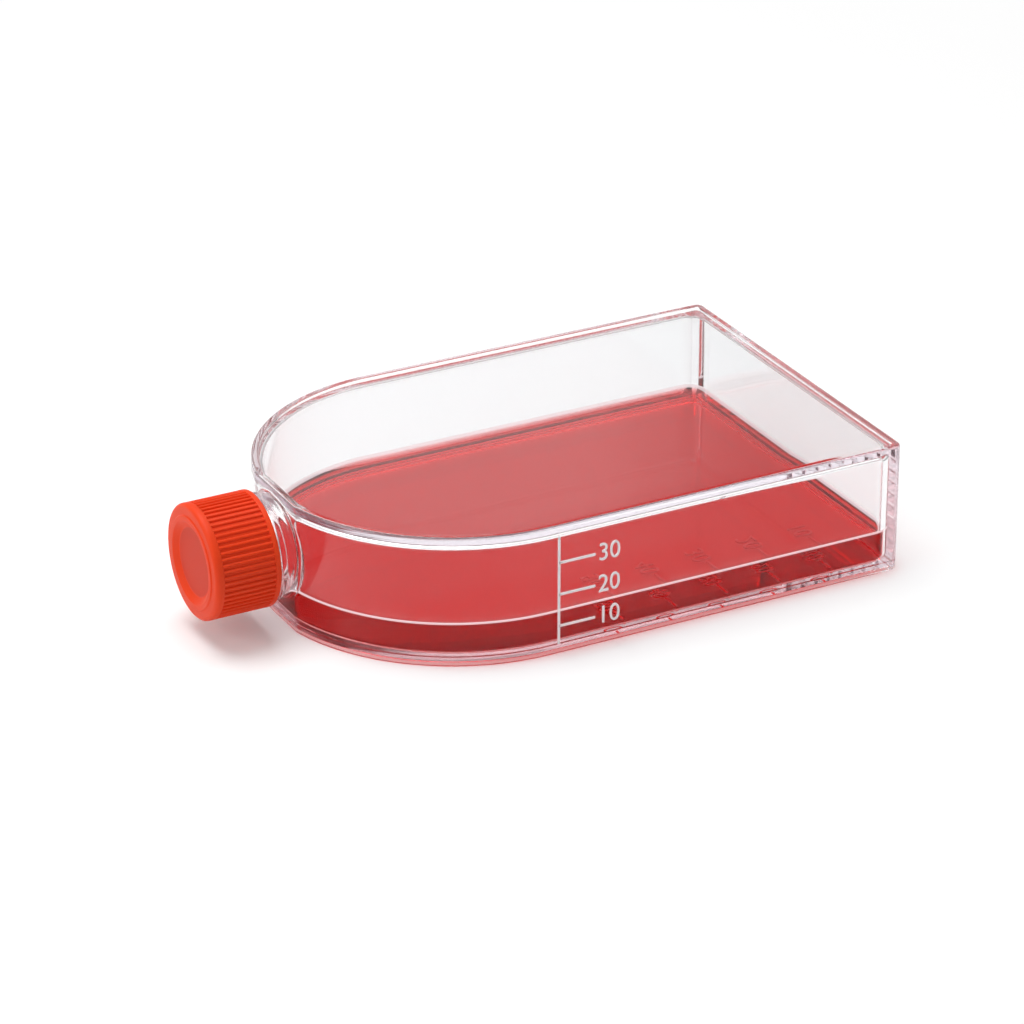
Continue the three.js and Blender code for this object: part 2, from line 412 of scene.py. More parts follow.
def cap_plastic(colours, sizes):
    """Moulded plastic with a fine grain, and a slightly darker sunk disc."""
    made, graph = material("cap_plastic")
    place = graph.object_coordinates()
    centred = graph.node(
        "ShaderNodeMapping", None, {"Vector": place, "Location": (-CAP_LOW.x, 0, -AXIS_Z)}
    )["Vector"]
    across = graph.node(
        "ShaderNodeVectorMath", {"operation": "MULTIPLY"}, {0: centred, 1: (0, 1, 1)}
    )["Vector"]
    radius = graph.node("ShaderNodeVectorMath", {"operation": "LENGTH"}, {0: across})["Value"]
    along = graph.node("ShaderNodeSeparateXYZ", None, {"Vector": centred})["X"]
    rim = sizes.recess_radius - sizes.recess_slope
    in_disc = graph.ramp(radius, rim, rim - 0.4 * MM)
    near_end = graph.node(
        "ShaderNodeMapRange", None, {"Value": along, "From Min": 1.5 * MM, "From Max": 1.0 * MM}
    )["Result"]
    disc = in_disc * near_end
    flow = graph.noise(place, scale=160, detail=3)
    shade = graph.blend(flow * 0.3, colours.cap, darker(colours.cap, 0.86))
    base = graph.blend(disc, shade, colours.cap_disc)
    grain = graph.noise(place, scale=5200)
    roughness = 0.42 + grain * 0.08 + disc * 0.08
    surface = graph.node(
        "ShaderNodeBsdfPrincipled",
        None,
        {
            "Base Color": base,
            "Roughness": roughness,
            "IOR": 1.49,
            "Specular IOR Level": 0.2,
            "Subsurface Weight": 0.12,
            "Subsurface Radius": (1.0, 0.25, 0.1),
            "Subsurface Scale": 0.0008,
            "Normal": graph.bump(grain, strength=0.12, distance=0.00004),
        },
    )
    graph.node("ShaderNodeOutputMaterial", None, {"Surface": surface["BSDF"]})
    return made


def foam_liner(colours):
    """Closed-cell foam with a fine pitted skin."""
    made, graph = material("liner")
    place = graph.object_coordinates()
    pits = graph.noise(place, scale=3500, detail=3)
    clouds = graph.noise(place, scale=400)
    surface = graph.node(
        "ShaderNodeBsdfPrincipled",
        None,
        {
            "Base Color": graph.blend(clouds * 0.35, colours.liner, darker(colours.liner, 0.9)),
            "Roughness": 0.55 + pits * 0.15,
            "Normal": graph.bump(pits, strength=0.25, distance=0.00005),
        },
    )
    graph.node("ShaderNodeOutputMaterial", None, {"Surface": surface["BSDF"]})
    return made


def scale_ink(colours):
    """Opaque pale ink that is a little uneven, made once for both scales."""
    if "scale_ink" in bpy.data.materials:
        return bpy.data.materials["scale_ink"]
    made, graph = material("scale_ink")
    mottle = graph.noise(graph.object_coordinates(), scale=1800)
    surface = graph.node(
        "ShaderNodeBsdfPrincipled",
        None,
        {
            "Base Color": graph.blend(mottle * 0.3, colours.scale, darker(colours.scale, 0.88)),
            "Roughness": 0.4 + mottle * 0.15,
        },
    )
    graph.node("ShaderNodeOutputMaterial", None, {"Surface": surface["BSDF"]})
    return made


# Shapes


def rounded(corners, steps=5):
    """A line through (across, along, radius) corners, each one with a radius as an arc."""
    points = []
    for index, (across, along, radius) in enumerate(corners):
        corner = Vector((across, along))
        if not radius:
            points.append(corner)
            continue
        back = (Vector(corners[index - 1][:2]) - corner).normalized()
        ahead = (Vector(corners[index + 1][:2]) - corner).normalized()
        half = back.angle(ahead) / 2
        centre = corner + (back + ahead).normalized() * (radius / math.sin(half))
        arm = corner + back * (radius / math.tan(half)) - centre
        turn = math.pi - 2 * half
        if back.x * ahead.y - back.y * ahead.x > 0:
            turn = -turn
        for step in range(steps + 1):
            points.append(centre + Matrix.Rotation(turn * step / steps, 2) @ arm)
    return points


def arc(centre_x, centre_y, radius, start, finish, steps):
    """Points of an arc in degrees, both ends included."""
    angles = [math.radians(start + (finish - start) * i / steps) for i in range(steps + 1)]
    return [(centre_x + radius * math.cos(a), centre_y + radius * math.sin(a)) for a in angles]


def shoulder_x(sizes):
    """Where the straight sides end and the shoulders start."""
    return NECK_X + math.sqrt(sizes.shoulder_radius**2 - (sizes.neck_flat / 2) ** 2)


def outline(sizes, inset, corner):
    """The body's outline from above, moved in by inset, with base corners of a given radius."""
    side = HALF_WIDTH - inset
    base = BASE_X - inset - corner
    start = shoulder_x(sizes)
    radius = sizes.shoulder_radius - inset
    sweep = math.degrees(math.acos(min((start - NECK_X - inset) / radius, 1)))
    points = arc(base, corner - side, corner, -90, 0, CORNER_STEPS)
    points += arc(base, side - corner, corner, 0, 90, CORNER_STEPS)
    points += arc(start, 0, radius, 90, 180 - sweep, SHOULDER_STEPS)
    points += arc(start, 0, radius, 180 + sweep, 270, SHOULDER_STEPS)
    return points


def skin(rings):
    """A closed mesh through rings of equal length, with a flat face at each end."""
    mesh = bmesh.new()
    rows = [[mesh.verts.new(point) for point in ring] for ring in rings]
    for lower, upper in zip(rows, rows[1:]):
        for index in range(len(lower)):
            following = (index + 1) % len(lower)
            mesh.faces.new((lower[index], lower[following], upper[following], upper[index]))
    mesh.faces.new(rows[0])
    mesh.faces.new(rows[-1])
    bmesh.ops.recalc_face_normals(mesh, faces=mesh.faces)
    return mesh


def lofted(sizes, profile, corner):
    """A closed mesh from the body's outline at (inset, height) points, from bottom to top. The
    base corners have the given radius at no inset, and get tighter further in."""
    rings = []
    for inset, height in profile:
        radius = max(corner - inset, BLUNT)
        rings.append([(x, y, height) for x, y in outline(sizes, inset, radius)])
    return skin(rings)


def turned(profile, steps=96):
    """A closed mesh turned about the neck's axis from (radius, distance from the body) points."""
    rings = []
    for radius, distance in profile:
        ring = arc(0, AXIS_Z, radius, 0, 360, steps)[:-1]
        rings.append([(NECK_X - distance, y, z) for y, z in ring])
    return skin(rings)


def thread_ridge(sizes, radius, outward, turns, start):
    """The thread's ridge on a wall of the given radius, tapered at both ends."""
    bite = 0.3 * MM
    steps_per_turn = 48
    taper = 12  # full height is reached after a twelfth of the length
    least = 0.02
    section = (
        (-outward * bite, -sizes.root_width / 2),
        (outward * sizes.depth, -sizes.crest_width / 2),
        (outward * sizes.depth, sizes.crest_width / 2),
        (-outward * bite, sizes.root_width / 2),
    )
    count = round(turns * steps_per_turn)
    rings = []
    for index in range(count + 1):
        share = index / count
        angle = 2 * math.pi * turns * share
        fade = min(1, taper * share, taper * (1 - share))
        ring = []
        for out, along in section:
            if out * outward > 0:
                out *= max(fade, least)
            distance = start + sizes.lead * turns * share + along
            reach = radius + out
            ring.append(
                (NECK_X - distance, -reach * math.sin(angle), AXIS_Z + reach * math.cos(angle))
            )
        rings.append(ring)
    return skin(rings)


def new_object(name, mesh, finish=None):
    """An object at the origin from a bmesh, which is freed."""
    data = bpy.data.meshes.new(name)
    mesh.to_mesh(data)
    mesh.free()
    made = bpy.data.objects.new(name, data)
    bpy.context.scene.collection.objects.link(made)
    if finish:
        data.materials.append(finish)
    return made


def evaluated_mesh(made):
    """The object's mesh with its modifiers applied."""
    bpy.context.view_layer.update()
    graph = bpy.context.evaluated_depsgraph_get()
    return bpy.data.meshes.new_from_object(made.evaluated_get(graph))


def settle(made, finish):
    """Applies the modifiers and gives the object one finish and clean normals."""
    data = evaluated_mesh(made)
    made.modifiers.clear()
    made.data = data
    data.name = made.name
    data.materials.clear()
    data.materials.append(finish)
    data.polygons.foreach_set("use_smooth", [True] * len(data.polygons))
    data.polygons.foreach_set("material_index", [0] * len(data.polygons))
    data.set_sharp_from_angle(angle=SHARP)
    normals = made.modifiers.new("Normals", "WEIGHTED_NORMAL")
    normals.keep_sharp = True
    normals.weight = 100
    made.data = evaluated_mesh(made)
    made.data.name = made.name
    made.modifiers.clear()
    return made


def joined(made, others, operation):
    """Joins other objects to made or cuts them from it, and removes them."""
    for other in others:
        step = made.modifiers.new("Boolean", "BOOLEAN")
        step.operation = operation
        step.solver = "EXACT"
        step.object = other
        data = evaluated_mesh(made)
        made.modifiers.clear()
        made.data = data
        bpy.data.objects.remove(other)


# Clear body


def outer_profile(sizes):
    """(inset, height) points of the body's outside, from under the growth plate to the top."""
    rim, height, edge = sizes.rim_width, sizes.rim_height, sizes.rim_edge
    crest = rim - 0.1 * MM
    groove = sizes.weld_groove
    centre = 4 * rim
    return rounded(
        [
            (centre, height, 0),
            (rim, height, FINE),
            (crest, 0, SOFT),
            (0, 0, edge),
            (0, CHAMBER_FLOOR - groove, 0),
            (groove, CHAMBER_FLOOR, 0),
            (0, CHAMBER_FLOOR + groove, 0),
            (0, TOP_Z, edge),
            (crest, TOP_Z, SOFT),
            (rim, TOP_Z - height, FINE),
            (centre, TOP_Z - height, 0),
        ]
    )


def chamber_profile(sizes):
    """(inset, height) points of the hollow inside the walls and between the two plates."""
    ceiling = TOP_Z - sizes.rim_height - sizes.plate
    centre = 6 * sizes.wall
    return rounded(
        [
            (centre, CHAMBER_FLOOR, 0),
            (sizes.wall, CHAMBER_FLOOR, sizes.chamber_fillet),
            (sizes.wall, ceiling, sizes.chamber_fillet),
            (centre, ceiling, 0),
        ]
    )


def neck_profile(sizes, cap_gap):
    """(radius, distance) points of the neck's outside, from inside the wall to the mouth."""
    neck = sizes.bore_radius + sizes.neck_wall
    root = neck + sizes.neck_root
    collar = neck + sizes.collar_overhang
    collar_top = cap_gap - sizes.collar_gap
    collar_foot = collar_top - sizes.collar_thickness
    flare = sizes.flare
    foot = arc(root + flare, flare, flare, 270, 180, 8)
    return (
        [(HUB, -sizes.wall / 2), (root + flare, -sizes.wall / 2)]
        + foot
        + rounded(
            [
                (root, flare, 0),
                (root, collar_foot, FINE),
                (collar, collar_foot, SOFT),
                (collar, collar_top, SOFT),
                (neck, collar_top, FINE),
                (neck, NECK_LENGTH, BLUNT),
                (HUB, NECK_LENGTH, 0),
            ],
            steps=4,
        )[1:]
    )


def bore_profile(sizes):
    """(radius, distance) points of the cut through the neck, flared where it meets the chamber."""
    bore = sizes.bore_radius
    flare = 0.6 * MM
    past = NECK_LENGTH + 1 * MM
    inner = arc(bore + flare, flare - sizes.wall, flare, 270, 180, 6)
    return (
        [(HUB, -2 * sizes.wall), (bore + flare, -2 * sizes.wall)]
        + inner
        + [
            (bore, NECK_LENGTH - SOFT),
            (bore + SOFT, NECK_LENGTH + 0.01 * MM),
            (bore + SOFT, past),
            (HUB, past),
        ]
    )


class FLASK_OT_clear_body(bpy.types.Operator):
    """Builds the tub, growth plate, neck and neck thread as one closed clear mesh"""

    bl_idname = "flask.clear_body"
    bl_label = "Clear Body"

    def execute(self, context):
        sizes = context.scene.flask_body
        thread = context.scene.flask_thread
        body = new_object("clear_body", lofted(sizes, outer_profile(sizes), sizes.corner_radius))
        neck = new_object("neck", turned(neck_profile(sizes, CAP_GAP)))
        radius = sizes.bore_radius + sizes.neck_wall
        start = CAP_GAP + thread.start + thread.lead / 2
        finish = NECK_LENGTH - thread.land - thread.root_width / 2
        turns = (finish - start) / thread.lead
        ridge = new_object("ridge", thread_ridge(thread, radius, 1, turns, start))
        corner = sizes.wall + sizes.inner_corner_radius
        chamber = new_object("chamber", lofted(sizes, chamber_profile(sizes), corner))
        bore = new_object("bore", turned(bore_profile(sizes)))
        joined(body, [neck, ridge], "UNION")
        joined(body, [chamber, bore], "DIFFERENCE")
        settle(body, clear_plastic(context.scene.flask_colours))
        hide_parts("flask_body", "growth_plate")
        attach(body, "flask")
        return {"FINISHED"}


# Medium


def medium_profile(sizes):
    """(inset, height) points of the medium, sunk a little into the walls, with its meniscus."""
    level = MEDIUM_HIGH.z - sizes.level_drop
    side = sizes.wall - SINK
    bottom = CHAMBER_FLOOR - SINK
    points = rounded(
        [
            (8 * sizes.wall, bottom, 0),
            (side, bottom, sizes.chamber_fillet),
            (side, level + sizes.meniscus, 0),
        ]
    )
    reach = sizes.meniscus_reach
    spread = 5  # reaches from the wall to the flat level
    steps = 14
    for step in range(steps + 1):
        distance = spread * reach * (step / steps) ** 2
        climb = sizes.meniscus * (math.exp(-distance / reach) - math.exp(-spread))
        points.append(Vector((sizes.wall + distance, level + climb)))
    return points


class FLASK_OT_medium(bpy.types.Operator):
    """Builds the culture medium with its meniscus"""

    bl_idname = "flask.medium"
    bl_label = "Culture Medium"

    def execute(self, context):
        sizes = context.scene.flask_body
        corner = sizes.wall + sizes.inner_corner_radius
        medium = new_object("medium", lofted(sizes, medium_profile(sizes), corner))
        # Height from which the medium's painted glint, a pale band that glows by emission, begins.
        edge = MEDIUM_HIGH.z - sizes.level_drop + 0.45 * sizes.meniscus
        settle(medium, red_medium(context.scene.flask_colours, edge))
        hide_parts("culture_medium")
        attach(medium, "flask")
        return {"FINISHED"}


# Scales


def box(mesh, low, high):
    """Adds a box between two corners to a bmesh."""
    size = [b - a for a, b in zip(low, high)]
    centre = Vector([(a + b) / 2 for a, b in zip(low, high)])
    place = Matrix.Translation(centre) @ Matrix.Diagonal((*size, 1))
    bmesh.ops.create_cube(mesh, size=1, matrix=place)


def figures(mesh, text, height, width, place):
    """Adds raised figures to a bmesh. They are drawn about the middle of their left edge in XY."""
    curve = bpy.data.curves.new("figures", "FONT")
    curve.body = text
    curve.size = height * FONT_SIZE
    curve.offset = STROKE_OFFSET * height
    curve.extrude = MARK_PROUD / 2 + SINK / 2
    curve.resolution_u = 4
    curve.align_x = "LEFT"
    curve.align_y = "CENTER"
    holder = bpy.data.objects.new("figures", curve)
    bpy.context.scene.collection.objects.link(holder)
    data = evaluated_mesh(holder)
    data.transform(place @ Matrix.Scale(width, 4, (1, 0, 0)))
    mesh.from_mesh(data)
    bpy.data.objects.remove(holder)
    bpy.data.curves.remove(curve)


def mark_array(name, count, offset, low, high, finish):
    """Marks in a row, made by geometry nodes: one box, repeated at equal steps."""
    mesh = bmesh.new()
    made = new_object(name, mesh)
    tree = bpy.data.node_groups.new(name, "GeometryNodeTree")
    for label, kind in (("Count", "NodeSocketInt"), ("Step", "NodeSocketVector")):
        tree.interface.new_socket(label, in_out="INPUT", socket_type=kind)
    for label in ("Low", "High"):
        tree.interface.new_socket(label, in_out="INPUT", socket_type="NodeSocketVector")
    tree.interface.new_socket("Geometry", in_out="OUTPUT", socket_type="NodeSocketGeometry")
    graph = Graph(tree)
    given = graph.node("NodeGroupInput")
    size = graph.node(
        "ShaderNodeVectorMath", {"operation": "SUBTRACT"}, {0: given["High"], 1: given["Low"]}
    )["Vector"]
    half = graph.node("ShaderNodeVectorMath", {"operation": "SCALE"}, {0: size, "Scale": 0.5})
    middle = graph.node(
        "ShaderNodeVectorMath", {"operation": "ADD"}, {0: given["Low"], 1: half["Vector"]}
    )["Vector"]
    line = graph.node(
        "GeometryNodeMeshLine",
        {"mode": "OFFSET"},
        {"Count": given["Count"], "Start Location": middle, "Offset": given["Step"]},
    )
    cube = graph.node("GeometryNodeMeshCube", None, {"Size": size})
    placed = graph.node(
        "GeometryNodeInstanceOnPoints", None, {"Points": line["Mesh"], "Instance": cube["Mesh"]}
    )
    real = graph.node("GeometryNodeRealizeInstances", None, {"Geometry": placed["Instances"]})
    coated = graph.node(
        "GeometryNodeSetMaterial", None, {"Geometry": real["Geometry"], "Material": finish}
    )
    graph.node("NodeGroupOutput", None, {"Geometry": coated["Geometry"]})
    give(made, tree, {"Count": count, "Step": offset, "Low": low, "High": high})
    data = evaluated_mesh(made)
    bpy.data.objects.remove(made)
    return data


def give(made, tree, values):
    """Puts a geometry nodes modifier on an object and sets its inputs by socket identifier."""
    step = made.modifiers.new("Nodes", "NODES")
    step.node_group = tree
    for item in tree.interface.items_tree:
        if item.in_out == "INPUT" and item.name in values:
            step[item.identifier] = values[item.name]


def finished_scale(name, mesh, finish):
    """A scale's object from a bmesh of its lines and figures."""
    bmesh.ops.remove_doubles(mesh, verts=mesh.verts, dist=MERGE)
    return settle(new_object(name, mesh), finish)


class FLASK_OT_side_scale(bpy.types.Operator):
    """Builds the upright line, marks and figures on the side wall"""

    bl_idname = "flask.side_scale"
    bl_label = "Side Scale"

    def execute(self, context):
        body = context.scene.flask_body
        sizes = context.scene.flask_scales
        ink = scale_ink(context.scene.flask_colours)
        width = sizes.line_width
        face = -HALF_WIDTH
        back = face + SINK
        front = face - MARK_PROUD
        line_x = shoulder_x(body) + sizes.side_distance
        ceiling = TOP_Z - body.rim_height - body.plate
        first = CHAMBER_FLOOR + sizes.side_first
        low = (line_x, front, first - width / 2)
        high = (line_x + sizes.side_mark_length, back, first + width / 2)
        mesh = bmesh.new()
        offset = (0, 0, sizes.side_step)
        mesh.from_mesh(mark_array("side_marks", sizes.side_marks, offset, low, high, ink))
        low = (line_x - width / 2, front, CHAMBER_FLOOR)
        high = (line_x + width / 2, back, ceiling)
        box(mesh, low, high)
        figure_x = line_x + sizes.side_mark_length + sizes.figure_gap
        upright = Matrix.Rotation(math.radians(90), 4, "X")
        middle = (front + back) / 2
        for index in range(sizes.side_marks):
            height = first + index * sizes.side_step
            place = Matrix.Translation((figure_x, middle, height)) @ upright
            text = str(10 * (index + 1))
            figures(mesh, text, sizes.side_figure, sizes.figure_width, place)
        scale = finished_scale("side_scale", mesh, ink)
        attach(scale, "flask")
        return {"FINISHED"}


class FLASK_OT_main_scale(bpy.types.Operator):
    """Builds the marks and figures under the growth plate"""

    bl_idname = "flask.main_scale"
    bl_label = "Main Scale"

    def execute(self, context):
        body = context.scene.flask_body
        sizes = context.scene.flask_scales
        ink = scale_ink(context.scene.flask_colours)
        width = sizes.line_width
        face = body.rim_height
        top = face + SINK
        bottom = face - MARK_PROUD
        depth = TOP_Z - 2 * (body.rim_height + body.plate)
        step = MARK_VOLUME / (2 * (HALF_WIDTH - body.wall) * depth)
        first = BASE_X - body.wall - step
        outer = -HALF_WIDTH + sizes.main_inset
        low = (first - width / 2, outer, bottom)
        high = (first + width / 2, outer + sizes.main_mark_length, top)
        mesh = bmesh.new()
        offset = (-step, 0, 0)
        mesh.from_mesh(mark_array("main_marks", sizes.main_marks, offset, low, high, ink))
        figure_y = outer + sizes.main_mark_length + sizes.figure_gap
        right = Vector((0, -1, 0))
        up = Vector((-1, 0, 0))
        turn = Matrix((right, up, right.cross(up))).transposed().to_4x4()
        run = sizes.main_figure * TWO_FIGURES * sizes.figure_width
        for index in range(sizes.main_marks):
            text = str(10 * (index + 1))
            place = Matrix.Translation((first - index * step, figure_y + run, (top + bottom) / 2))
            figures(mesh, text, sizes.main_figure, sizes.figure_width, place @ turn)
        scale = finished_scale("main_scale", mesh, ink)
        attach(scale, "flask")
        return {"FINISHED"}


# Cap and liner


def cap_profile(sizes, thread, body):
    """(radius, distance) points of the cap's core, from the middle of its sunk disc, over its
    lip and edge and down its skirt, and up its bore to the middle of its inner end."""
    open_end = CAP_GAP
    top = open_end + CAP_HEIGHT
    bore = body.bore_radius + body.neck_wall + thread.depth + thread.clearance
    root = CAP_RADIUS - sizes.rib_height
    recess = sizes.recess_radius
    depth = sizes.recess_depth
    lip = recess + sizes.lip_width
    face = top - sizes.lip_height
    inner_top = top - sizes.top
    return rounded(
        [
            (SMALL_HUB, top - depth, 0),
            (recess - sizes.recess_slope, top - depth, 0.4 * MM),
            (recess, top, SOFT),
            (lip, top, FINE),
            (lip + 0.15 * MM, face, TIGHT),
            (CAP_RADIUS, face, sizes.edge_radius),
            (CAP_RADIUS, top - sizes.top_band, 0.12 * MM),
            (root, top - sizes.top_band, TIGHT),
            (root, open_end + sizes.skirt_band, TIGHT),
            (CAP_RADIUS, open_end + sizes.skirt_band, 0.12 * MM),
            (CAP_RADIUS, open_end, 0.2 * MM),
            (bore, open_end, SOFT),
            (bore, inner_top, BLUNT),
            (SMALL_HUB, inner_top, 0),
        ],
        steps=6,
    )


def rib_tree():
    """Geometry nodes that stand ribs round a core about the neck's axis. A rib is half of a
    squeezed tube, and thins out at both ends."""
    spine_points = 15
    section_points = 10
    taper = 0.07
    least = 0.02
    tree = bpy.data.node_groups.new("grip_ribs", "GeometryNodeTree")
    tree.interface.new_socket("Core", in_out="INPUT", socket_type="NodeSocketGeometry")
    tree.interface.new_socket("Count", in_out="INPUT", socket_type="NodeSocketInt")
    for label in ("Radius", "Half width", "Height", "From", "To"):
        tree.interface.new_socket(label, in_out="INPUT", socket_type="NodeSocketFloat")
    tree.interface.new_socket("Finish", in_out="INPUT", socket_type="NodeSocketMaterial")
    tree.interface.new_socket("Geometry", in_out="OUTPUT", socket_type="NodeSocketGeometry")
    graph = Graph(tree)
    given = graph.node("NodeGroupInput")
    radius = given["Radius"]
    start = graph.node("ShaderNodeCombineXYZ", None, {"X": given["From"], "Z": radius})["Vector"]
    end = graph.node("ShaderNodeCombineXYZ", None, {"X": given["To"], "Z": radius})["Vector"]
    spine = graph.node("GeometryNodeCurvePrimitiveLine", None, {"Start": start, "End": end})
    fine = graph.node(
        "GeometryNodeResampleCurve", None, {"Curve": spine["Curve"], "Count": spine_points}
    )
    share = graph.node("GeometryNodeSplineParameter")["Factor"]
    near_end = share.lower(1 - share) / taper
    fade = (near_end.lower(1) * (1 - least) + least).root()
    swelled = graph.node(
        "GeometryNodeSetCurveRadius", None, {"Curve": fine["Curve"], "Radius": fade}
    )
    section = graph.node(
        "GeometryNodeCurvePrimitiveCircle",
        None,
        {"Resolution": section_points, "Radius": given["Half width"]},
    )
    rib = graph.node(
        "GeometryNodeCurveToMesh",
        None,
        {"Curve": swelled["Curve"], "Profile Curve": section["Curve"], "Fill Caps": True},
    )
    squeeze = given["Height"] / given["Half width"]
    scale = graph.node("ShaderNodeCombineXYZ", None, {"X": 1.0, "Y": 1.0, "Z": squeeze})["Vector"]
    lift = graph.node("ShaderNodeCombineXYZ", None, {"Z": radius - radius * squeeze})["Vector"]
    shaped = graph.node(
        "GeometryNodeTransform",
        None,
        {"Geometry": rib["Mesh"], "Scale": scale, "Translation": lift},
    )
    points = graph.node(
        "GeometryNodeMeshLine",
        None,
        {"Count": given["Count"], "Start Location": (0, 0, AXIS_Z), "Offset": (0, 0, 0)},
    )
    place = graph.node("GeometryNodeInputIndex")["Index"]
    turn = place * (2 * math.pi) / given["Count"]
    rotation = graph.node("ShaderNodeCombineXYZ", None, {"X": turn})["Vector"]
    ribs = graph.node(
        "GeometryNodeInstanceOnPoints",
        None,
        {"Points": points["Mesh"], "Instance": shaped["Geometry"], "Rotation": rotation},
    )
    real = graph.node("GeometryNodeRealizeInstances", None, {"Geometry": ribs["Instances"]})
    both = graph.node("GeometryNodeJoinGeometry", None, {"Geometry": real["Geometry"]})
    tree.links.new(given["Core"].socket, both.node.inputs["Geometry"])
    coated = graph.node(
        "GeometryNodeSetMaterial",
        None,
        {"Geometry": both["Geometry"], "Material": given["Finish"]},
    )
    graph.node("NodeGroupOutput", None, {"Geometry": coated["Geometry"]})
    return tree


class FLASK_OT_screw_cap(bpy.types.Operator):
    """Builds the ribbed screw cap with its sunk disc and inner thread"""

    bl_idname = "flask.screw_cap"
    bl_label = "Screw Cap"

    def execute(self, context):
        sizes = context.scene.flask_cap
        thread = context.scene.flask_thread
        body = context.scene.flask_body
        finish = cap_plastic(context.scene.flask_colours, sizes)
        core = turned(cap_profile(sizes, thread, body), steps=128)
        cap = new_object("ribbed_cap", core, finish)
        bore = body.bore_radius + body.neck_wall + thread.depth + thread.clearance
        start = CAP_GAP + thread.start
        ridge = thread_ridge(thread, bore, -1, thread.cap_turns, start)
        joined(cap, [new_object("ridge", ridge)], "UNION")
        values = {
            "Count": sizes.rib_count,
            "Radius": CAP_RADIUS - sizes.rib_height,
            "Half width": sizes.rib_width / 2,
            "Height": sizes.rib_height,
            "From": CAP_LOW.x + sizes.top_band - 0.2 * MM,
            "To": CAP_HIGH.x - sizes.skirt_band + 0.1 * MM,
            "Finish": finish,
        }
        give(cap, rib_tree(), values)
        settle(cap, finish)
        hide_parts("screw_cap")
        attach(cap, "cap")
        return {"FINISHED"}


class FLASK_OT_liner(bpy.types.Operator):
    """Builds the cap's liner with the ring that the neck presses into it"""

    bl_idname = "flask.liner"
    bl_label = "Liner"

    def execute(self, context):
        body = context.scene.flask_body
        radius = (SEAL_HIGH.z - SEAL_LOW.z) / 2
        near = NECK_X - SEAL_HIGH.x
        far = NECK_X - SEAL_LOW.x
        bore = body.bore_radius
        neck = bore + body.neck_wall
        press = 0.12 * MM
        slope = 0.2 * MM
        profile = rounded(
            [
                (SMALL_HUB, near, 0),
                (bore, near, FINE),
                (bore + slope, near + press, FINE),
                (neck, near + press, FINE),
                (neck + slope, near, TIGHT),
                (radius, near, FINE),
                (radius, far, FINE),
                (SMALL_HUB, far, 0),
            ],
            steps=3,
        )
        liner = new_object("cap_liner", turned(profile))
        settle(liner, foam_liner(context.scene.flask_colours))
        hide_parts("cap_seal")
        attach(liner, "seal")
        return {"FINISHED"}


# Stage


def floor_finish(colours):
    """Matt and pale. The camera, gloss and clear edges see it a little brighter, as white, and
    plain white well away from the flask."""
    made, graph = material("floor")
    ray = graph.node("ShaderNodeLightPath")
    direct = (1 - ray["Diffuse Depth"]).higher(0)
    seen = ray["Is Camera Ray"] + ray["Is Glossy Ray"] * 0.3 + ray["Is Transmission Ray"]
    seen = seen.lower(1) * direct
    matt = graph.node("ShaderNodeBsdfDiffuse", None, {"Color": (*colours.floor, 1)})
    lift = 0.15
    glow = graph.node("ShaderNodeEmission", None, {"Strength": seen * lift})
    both = graph.node("ShaderNodeAddShader", None, {0: matt["BSDF"], 1: glow["Emission"]})
    place = {0: graph.object_coordinates()}
    away = graph.node("ShaderNodeVectorMath", {"operation": "LENGTH"}, place)["Value"]
    white = graph.node("ShaderNodeEmission", None, {"Strength": 1.0})
    far = seen * graph.ramp(away, start=0.15, end=0.34)
    finish = {0: far, 1: both["Shader"], 2: white["Emission"]}
    mixed = graph.node("ShaderNodeMixShader", None, finish)
    graph.node("ShaderNodeOutputMaterial", None, {"Surface": mixed["Shader"]})
    return made


def studio_world(strength):
    """White to the camera and soft light for surfaces. Clear edges see a sky that darkens towards
    the horizon and after a reflection, is even after some more and dims after many. Gloss sees a
    dim room with a bright ceiling and one tall soft window."""
    world = bpy.data.worlds.new("studio")
    world.use_nodes = True
    graph = Graph(world.node_tree)
    ray = graph.node("ShaderNodeLightPath")
    direction = graph.node("ShaderNodeTexCoord")["Generated"]
    parts = graph.node("ShaderNodeSeparateXYZ", None, {"Vector": direction})
    height = parts["Z"]
    sky = graph.ramp(height, 0.1, 0.42, low=0.16)
    sky = sky * graph.ramp(ray["Glossy Depth"], 0, 1, low=1, high=0.35)
    sky = sky.higher(graph.ramp(ray["Ray Depth"], 8, 14))
    sky = sky * graph.ramp(ray["Ray Depth"], 16, 26, low=1, high=0.25)
    ceiling = graph.ramp(height, 0.5, 0.8, low=0.2, high=0.9)
    across = parts["X"] * 0.87 - parts["Y"] * 0.5
    window = graph.ramp(across, 0.03, -0.02, high=0.3) * graph.ramp(height, 0.2, 0.4)
    room = (ceiling + window).lower(1)
    direct = (1 - ray["Diffuse Depth"]).higher(0)
    camera = ray["Is Camera Ray"]
    through = ray["Is Transmission Ray"] * direct
    gloss = ray["Is Glossy Ray"] * direct
    light = (1 - (camera + through + gloss)).higher(0)
    level = camera + sky * through + room * gloss + light * strength
    white = {"Color": (1, 1, 1, 1), "Strength": level}
    background = graph.node("ShaderNodeBackground", None, white)
    graph.node("ShaderNodeOutputWorld", None, {"Surface": background["Background"]})
    return world


def lamp(name, place, aim, size, watts):
    """A square area lamp at a place, turned to a point."""
    data = bpy.data.lights.new(name, "AREA")
    data.size = size
    data.energy = watts
    made = bpy.data.objects.new(name, data)
    made.location = place
    made.rotation_euler = (Vector(aim) - Vector(place)).to_track_quat("-Z", "Y").to_euler()
    bpy.context.scene.collection.objects.link(made)


